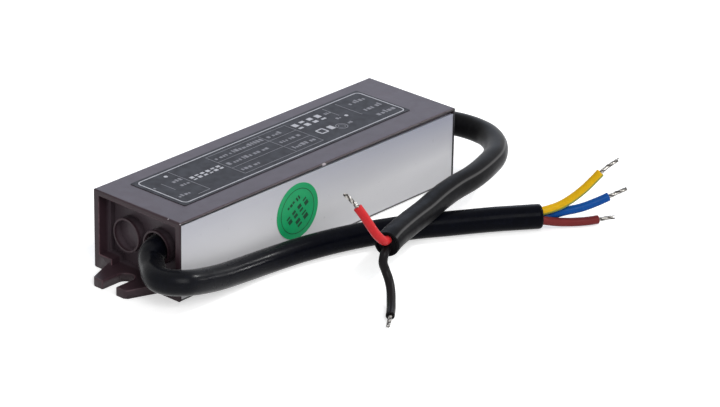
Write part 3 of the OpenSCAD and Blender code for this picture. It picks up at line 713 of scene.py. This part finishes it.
def core_pieces(name, jacket_line):
    """One core's insulation and its bare twisted end."""
    settings = bpy.context.scene.supply_leads
    *route, tip = (Vector(point) for point in CORES[name])
    inside = route[0] - directions_along(jacket_line)[-1] * 1.5 * MM
    line = curve_through([inside] + route, 0.3 * MM)
    stations, rim_start = stations_with_cut_end(
        line, settings.core / 2, settings.core_wall, depth=0.5 * MM, rim=0.2 * MM
    )

    def form(index, angle):
        centre = stations[min(index, rim_start)][0]
        turned = Vector((math.cos(angle), math.sin(angle), 3))
        return CORE_SCALE + CORE_WOBBLE * noise.noise(centre * CORE_LUMPS + turned), 0.0

    bm = bmesh.new()
    sweep(bm, stations, sides=24, form=form)
    bmesh.ops.recalc_face_normals(bm, faces=bm.faces)
    stripe = settings.earth_stripe if name == "earth" else None
    vinyl = core_vinyl(name + "_core_vinyl", getattr(settings, name), stripe)
    skin = link_piece(name + "_insulation", bm, vinyl, smooth_angle=45)
    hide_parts(name + "_core")
    return [skin, bare_strands(name, line, tip)]


def bare_strands(name, core_line, tip):
    """Twisted wires that leave a core's insulation and end at its tip, a little uneven."""
    settings = bpy.context.scene.supply_leads
    rng = random.Random(name)
    twist_length, bundle = 4.2 * MM, 0.43 * MM
    start = core_line[-1]
    direction = directions_along(core_line)[-1]
    straight_on = start + direction * (tip - start).length * 0.35
    knee = straight_on.lerp(start.lerp(tip, 0.4), 0.6)
    axis = curve_through([start - direction * 0.6 * MM, start, knee, tip], 0.25 * MM)
    directions, distances = directions_along(axis), distances_along(axis)
    bm = bmesh.new()
    for wire in range(settings.wires + 1):
        phase = 2 * math.pi * wire / settings.wires
        length = len(axis) - rng.randrange(0, 4) - 1
        spread = rng.uniform(0.75, 1.0)
        points = []
        for i in range(length):
            side, top = across(directions[i])
            angle = phase + 2 * math.pi * distances[i] / twist_length
            off = 0.0 if wire == settings.wires else bundle * (1 - 0.15 * i / len(axis)) * spread
            points.append(axis[i] + off * (math.cos(angle) * side + math.sin(angle) * top))
        stations = [(p, d, settings.wire / 2) for p, d in zip(points, directions_along(points))]
        # Painted dark reflection: how dark each wire is painted
        painted_dark_reflection = (0.0, 0.9, 0.3)[wire % 3]
        sweep(bm, stations, 6, lambda index, angle, painted_dark_reflection=painted_dark_reflection: (1.0, painted_dark_reflection))
    bmesh.ops.recalc_face_normals(bm, faces=bm.faces)
    piece = link_piece(name + "_wires", bm, tinned_copper(), smooth_angle=60)
    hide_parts(name + "_strands")
    return piece


# Print


def print_bar(bm, place, x, y, width, height):
    """A flat printed bar at a place in the print's own plane, all in millimetres."""
    size = Matrix.Diagonal((width * MM, height * MM, INK, 1))
    at = Matrix.Translation((x * MM, y * MM, INK / 2))
    bmesh.ops.create_cube(bm, size=1.0, matrix=place @ at @ size)


def print_ring(bm, place, x, y, width, height, radius, line, steps=8):
    """A printed outline: a rounded rectangle, or a circle where the radius is half the width."""
    bottom = []
    for inset in (0.0, line):
        r = max(radius - inset, 0.02)
        points = []
        for corner, (sx, sy) in enumerate(((1, 1), (-1, 1), (-1, -1), (1, -1))):
            cx, cy = sx * (width / 2 - radius), sy * (height / 2 - radius)
            for k in range(steps + 1):
                a = math.radians(90 * (corner + k / steps))
                px, py = x + cx + r * math.cos(a), y + cy + r * math.sin(a)
                points.append(Vector((px * MM, py * MM, 0)))
        bottom.append([bm.verts.new(place @ p) for p in points])
    edges = [
        bm.edges.new((loop[i], loop[(i + 1) % len(loop)])) for loop in bottom for i in range(len(loop))
    ]
    faces = bmesh.ops.bridge_loops(bm, edges=edges)["faces"]
    made = bmesh.ops.extrude_face_region(bm, geom=faces)["geom"]
    lift = place.to_3x3() @ Vector((0, 0, INK))
    bmesh.ops.translate(bm, vec=lift, verts=[g for g in made if isinstance(g, bmesh.types.BMVert)])


def print_marks(bm, place, x, y, length, height, rng):
    """A line of small print, drawn as a row of plain dashes and gaps."""
    at = x
    while at < x + length:
        width = height * rng.uniform(0.3, 0.75)
        tall = height * rng.choice((0.55, 0.7, 1.0))
        print_bar(bm, place, at + width / 2, y - (height - tall) / 2, width, tall)
        at += width + height * rng.choice((0.2, 0.25, 0.3, 0.6))


def print_blocks(bm, place, x, y, width, height, count, gap, line):
    """A group of large plain marks: pairs of stacked blocks, parted at different heights."""
    step = (width + gap) / count
    for i in range(count):
        centre = x + (i + 0.5) * step - gap / 2
        lower = (height - line) * (0.3, 0.62, 0.46)[i % 3]
        upper = height - line - lower
        print_bar(bm, place, centre, y - height / 2 + lower / 2, step - gap, lower)
        print_bar(bm, place, centre, y + height / 2 - upper / 2, step - gap, upper)


def label_place():
    """The label's own plane, on top of its film."""
    low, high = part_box("rating_label")
    centre = (low + high) / 2
    return Matrix.Translation((centre.x, centre.y, high.z)) @ Matrix.Rotation(math.radians(0.5), 4, "Z")


def sticker_place():
    """The sticker's own plane, on its outer face, with the print turned as it was stuck on."""
    low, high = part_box("inspection_sticker")
    centre = (low + high) / 2
    return (
        Matrix.Translation((centre.x, low.y, centre.z))
        @ Matrix.Rotation(math.radians(90), 4, "X")
        @ Matrix.Rotation(math.radians(212), 4, "Z")
    )


# Operators


# Lamps: name, place, size and colour
LAMPS = (
    ("key_lamp", (-0.42, -0.8, 0.8), (0.6, 0.6), "#ffffff"),
    ("strip_lamp", (0.66, -0.32, 0.67), (0.08, 0.08), "#ffffff"),
    ("second_strip", (0.72, -0.6, 0.32), (0.08, 0.08), "#ffffff"),
    ("back_lamp", (0.85, 0.75, 0.55), (1.0, 0.6), "#c8dcff"),
)


class SUPPLY_OT_stage(bpy.types.Operator):
    """Sets the camera, the floor, the lamps and the room."""

    bl_idname = "supply.stage"
    bl_label = "Stage"

    def execute(self, context):
        settings = context.scene.supply_stage
        camera = bpy.data.objects.new("camera", bpy.data.cameras.new("camera"))
        camera.data.lens = settings.lens
        turn = (
            Matrix.Rotation(settings.azimuth, 4, "Z")
            @ Matrix.Rotation(math.pi / 2 - settings.elevation, 4, "X")
            @ Matrix.Rotation(settings.roll, 4, "Z")
        )
        camera.matrix_world = Matrix.Translation(settings.place) @ turn
        context.scene.collection.objects.link(camera)
        context.scene.camera = camera
        self.floor(context)
        powers = (settings.key_power, settings.strip_power, settings.strip_power / 3, settings.back_power)
        for (name, place, size, code), power in zip(LAMPS, powers):
            self.lamp(context, name, place, size, code, power)
        self.room(context, settings.room_light)
        context.scene.view_settings.view_transform = "Standard"
        return {"FINISHED"}

    def floor(self, context):
        """A wide pale floor that the camera sees as white, apart from the object's soft shadow."""
        bm = bmesh.new()
        bmesh.ops.create_grid(bm, x_segments=1, y_segments=1, size=3.0)
        mesh = bpy.data.meshes.new("floor")
        bm.to_mesh(mesh)
        bm.free()
        floor = bpy.data.objects.new("floor", mesh)
        # A hair under the object, so that their faces don't meet
        floor.location.z = -0.05 * MM
        context.scene.collection.objects.link(floor)
        material, tree, shader = new_material("matt_board", Roughness=0.9, Specular_IOR_Level=0.1)
        tone = ramp(tree, noise_at(tree, object_coordinates(tree), 300 * MM), 0, 1)
        drive(tree, shader, Base_Color=blend_colours(tree, tone, linear("#e4e4e4"), linear("#e8e8e8")))
        glow = ramp(tree, background_rays(tree), 0, 0.55, 0, 1)
        white = add_node(tree, "ShaderNodeEmission", {"Color": (1, 1, 1, 1), "Strength": glow})
        both = add_node(tree, "ShaderNodeAddShader", {0: shader.outputs[0], 1: white.outputs[0]})
        from_below = add_node(tree, "ShaderNodeNewGeometry").outputs["Backfacing"]
        clear = add_node(tree, "ShaderNodeBsdfTransparent")
        board = add_node(
            tree, "ShaderNodeMixShader", {0: from_below, 1: both.outputs[0], 2: clear.outputs[0]}
        )
        tree.links.new(board.outputs[0], tree.nodes["Material Output"].inputs["Surface"])
        mesh.materials.append(material)

    def lamp(self, context, name, place, size, code, power):
        """A soft rectangular lamp turned toward the object."""
        data = bpy.data.lights.new(name, "AREA")
        data.shape = "RECTANGLE"
        data.size, data.size_y = size
        data.energy = power
        data.color = linear(code)[:3]
        lamp = bpy.data.objects.new(name, data)
        lamp.location = place
        lamp.rotation_euler = (-Vector(place)).to_track_quat("-Z", "Y").to_euler()
        context.scene.collection.objects.link(lamp)

    def room(self, context, strength):
        """A pale room: plain light on the object, and white where the camera or a reflection meets it."""
        world = bpy.data.worlds.new("room")
        world.use_nodes = True
        tree = world.node_tree
        level = ramp(tree, background_rays(tree), strength, 1.0, 0, 1)
        background = tree.nodes["Background"]
        background.inputs["Color"].default_value = linear("#ffffff")
        tree.links.new(level, background.inputs["Strength"])
        context.scene.world = world


class SUPPLY_OT_mains_lead(bpy.types.Operator):
    """Makes the mains lead with its three stripped cores."""

    bl_idname = "supply.mains_lead"
    bl_label = "Mains lead"

    def execute(self, context):
        settings = context.scene.supply_leads
        vinyl = soft_vinyl(
            "mains_jacket_vinyl", settings.mains_jacket, roughness=0.23,
            gloss=(0.1, 0.03), bloom=(0.12, 0.07), span=(30 * MM, 65 * MM),
        )
        jacket, line = lead_jacket(
            "mains_jacket", MAINS_ROUTE, vinyl, 0.72 * MM, "mains_cable"
        )
        pieces = []
        for name, slot_name in (
            ("earth", "yellow_insulation"), ("neutral", "blue_insulation"), ("live", "brown_insulation")
        ):
            pieces += core_pieces(name, line)
        return {"FINISHED"}


class SUPPLY_OT_output_lead(bpy.types.Operator):
    """Makes the output lead with its two stripped cores."""

    bl_idname = "supply.output_lead"
    bl_label = "Output lead"

    def execute(self, context):
        settings = context.scene.supply_leads
        vinyl = soft_vinyl(
            "output_jacket_vinyl", settings.output_jacket, roughness=0.36,
            gloss=(0.02, 0.02), bloom=(0.3, 0.0), span=(45 * MM, 85 * MM), crease=True,
        )
        jacket, line = lead_jacket(
            "output_jacket", OUTPUT_ROUTE, vinyl, 0.3 * MM, "output_cable", crease=True
        )
        pieces = []
        for name, slot_name in (("positive", "red_insulation"), ("negative", "black_insulation")):
            pieces += core_pieces(name, line)
        return {"FINISHED"}


class SUPPLY_OT_case(bpy.types.Operator):
    """Dresses the moulded case."""

    bl_idname = "supply.case"
    bl_label = "Case"

    def execute(self, context):
        settings = context.scene.supply_case
        # Heights of the edges that stay sharp at the bottom, and of the feet
        base, feet = 0.5 * MM, 2.5 * MM
        # The feet's edges, the rims on the end faces, and the edges between them, each with how much its
        # rounded faces are paled for rubbing and a painted highlight
        passes = [
            (settings.foot_round, 0.25, lambda at: abs(at.x) - END_FACE > 0.1 * MM and at.z > base),
            (settings.rim_round, 0.7, lambda at: abs(abs(at.x) - END_FACE) < 0.02 * MM and at.z > feet),
            (settings.edge_round, 0.0, lambda at: abs(at.x) - END_FACE < -0.1 * MM and at.z > base),
        ]
        rounded_copy("case_moulding", "moulded_case", passes, moulded_abs(settings))
        return {"FINISHED"}


class SUPPLY_OT_channel(bpy.types.Operator):
    """Dresses the folded aluminium channel."""

    bl_idname = "supply.channel"
    bl_label = "Aluminium channel"

    def execute(self, context):
        settings = context.scene.supply_case
        passes = [(settings.sheet_round, 1.0, lambda at: True)]
        rounded_copy(
            "aluminium_channel", "folded_sheet", passes, matted_aluminium(settings)
        )
        return {"FINISHED"}


class SUPPLY_OT_label(bpy.types.Operator):
    """Dresses the label film and prints its frame, table and marks."""

    bl_idname = "supply.label"
    bl_label = "Label"

    def execute(self, context):
        settings = context.scene.supply_case
        set_material("rating_label", printed_film(settings))
        place = label_place()
        rng = random.Random(7)
        strong = bmesh.new()
        print_ring(strong, place, 0.3, 0, 82.5, 17.2, 1.5, settings.frame_line / MM)
        print_blocks(strong, place, -29.3, 0.6, 10.6, 2.1, 6, 0.7, 0.55)
        print_blocks(strong, place, 12.6, 4.2, 10.2, 3.4, 4, 1.3, 0.9)
        print_ring(strong, place, 15.6, -2.4, 2.8, 2.8, 0.5, 0.45, steps=3)
        print_bar(strong, place, 19.0, -2.4, 1.6, 2.2)
        for x, y in ((-32.8, 6.2), (27.7, 0.1)):
            print_ring(strong, place, x, y, 1.1, 1.1, 0.55, 0.53, steps=4)
        link_piece("label_print", strong, printing_ink("white_ink", settings.ink))
        faint = bmesh.new()
        self.table(faint, place, rng)
        self.terminals(faint, place, rng)
        print_ring(faint, place, 21.6, -3.8, 3.4, 3.4, 1.7, 0.22)
        print_ring(faint, place, 21.6, -3.8, 2.0, 2.0, 1.0, 0.15)
        link_piece("label_small_print", faint, printing_ink("grey_ink", settings.faint_ink))
        return {"FINISHED"}

    def table(self, bm, place, rng):
        """Three rows and two columns of small print between thin rules."""
        left, middle, right = -17.6, 1.4, 11.5
        rows = [7.1, 2.9, -2.0, -6.6]
        rule = 0.16
        for y in rows:
            print_bar(bm, place, (left + right) / 2, y, right - left, rule)
        for x in (left, middle, right):
            print_bar(bm, place, x, (rows[0] + rows[-1]) / 2, rule, rows[0] - rows[-1])
        for top, bottom, first, second in zip(rows, rows[1:], (17, 14.5, 6.5), (5, 8.6, 7.4)):
            y = (top + bottom) / 2
            print_marks(bm, place, left + 1, y, first, 1.5, rng)
            print_marks(bm, place, middle + 1.2, y, min(second, right - middle - 2.6), 1.5, rng)

    def terminals(self, bm, place, rng):
        """The wiring marks at both ends of the label."""
        rule = 0.18
        print_bar(bm, place, -32.6, -6.9, 4.2, rule)
        for x, y, height in ((-30.5, 0.4, 14.6), (-36.8, 1.4, 5.0), (26.4, 4.4, 6.0), (31.2, 2.4, 9.6)):
            print_bar(bm, place, x, y, rule, height)
        for y in (4.7, -0.8, -5.2):
            print_marks(bm, place, 33.6, y, 6.2, 1.8, rng)
        for x, y, length in ((-34.2, 2.6, 3), (-34.2, -0.2, 3.2), (-39.4, -4.6, 3.4), (-40.2, 3.3, 1)):
            print_marks(bm, place, x, y, length, 1.3, rng)
        for y, length in ((4.6, 1.6), (0.4, 1.6), (-3.6, 1.4)):
            print_marks(bm, place, 24.2, y, length, 1.0, rng)


class SUPPLY_OT_sticker(bpy.types.Operator):
    """Dresses the round sticker and prints its ring and marks."""

    bl_idname = "supply.sticker"
    bl_label = "Sticker"

    def execute(self, context):
        settings = context.scene.supply_case
        set_material("inspection_sticker", sticker_paper(settings))
        place = sticker_place()
        bm = bmesh.new()
        print_ring(bm, place, 0, 0, 12.2, 12.2, 6.1, 0.2, steps=24)
        print_blocks(bm, place, -2.2, 3.0, 4.4, 2.2, 2, 1.0, 0.42)
        print_blocks(bm, place, -4.1, 0.0, 8.2, 2.2, 4, 0.9, 0.42)
        print_marks(bm, place, -2.6, -2.9, 5.2, 1.2, random.Random(3))
        link_piece("sticker_print", bm, printing_ink("green_ink", settings.sticker_ink))
        return {"FINISHED"}


class SUPPLY_OT_inner_parts(bpy.types.Operator):
    """Gives the parts inside the resin their materials."""

    bl_idname = "supply.inner_parts"
    bl_label = "Inner parts"

    def execute(self, context):
        leads = context.scene.supply_leads
        for name, (code, metallic, roughness, grain, *parts) in INNER_FINISHES.items():
            material = inner_material(name, code, metallic, roughness, grain)
            for node_name in parts:
                set_material(node_name, material)
        set_material("mains_tails", core_vinyl("tail_vinyl_brown", leads.live))
        set_material("output_tails", core_vinyl("tail_vinyl_red", leads.positive))
        return {"FINISHED"}


class SUPPLY_PT_panel(bpy.types.Panel):
    """Lists what can be made, with its settings."""

    bl_idname = "SUPPLY_PT_panel"
    bl_label = "Power Supply"
    bl_space_type = "VIEW_3D"
    bl_region_type = "UI"
    bl_category = "Power Supply"

    def draw(self, context):
        layout = self.layout
        for operator in OPERATORS:
            layout.operator(operator.bl_idname)
        for group in (context.scene.supply_case, context.scene.supply_leads, context.scene.supply_stage):
            box = layout.box()
            for name in group.__annotations__:
                box.prop(group, name)


OPERATORS = (
    SUPPLY_OT_stage,
    SUPPLY_OT_mains_lead,
    SUPPLY_OT_output_lead,
    SUPPLY_OT_case,
    SUPPLY_OT_channel,
    SUPPLY_OT_label,
    SUPPLY_OT_sticker,
    SUPPLY_OT_inner_parts,
)
CLASSES = (CaseSettings, LeadSettings, StageSettings, SUPPLY_PT_panel) + OPERATORS


def register():
    for cls in CLASSES:
        bpy.utils.register_class(cls)
    bpy.types.Scene.supply_case = PointerProperty(type=CaseSettings)
    bpy.types.Scene.supply_leads = PointerProperty(type=LeadSettings)
    bpy.types.Scene.supply_stage = PointerProperty(type=StageSettings)


def unregister():
    del bpy.types.Scene.supply_stage
    del bpy.types.Scene.supply_leads
    del bpy.types.Scene.supply_case
    for cls in reversed(CLASSES):
        bpy.utils.unregister_class(cls)


def main():
    register()
    bpy.ops.supply.stage()
    bpy.ops.supply.mains_lead()
    bpy.ops.supply.output_lead()
    bpy.ops.supply.case()
    bpy.ops.supply.channel()
    bpy.ops.supply.label()
    bpy.ops.supply.sticker()
    bpy.ops.supply.inner_parts()


if __name__ == "__main__":
    main()
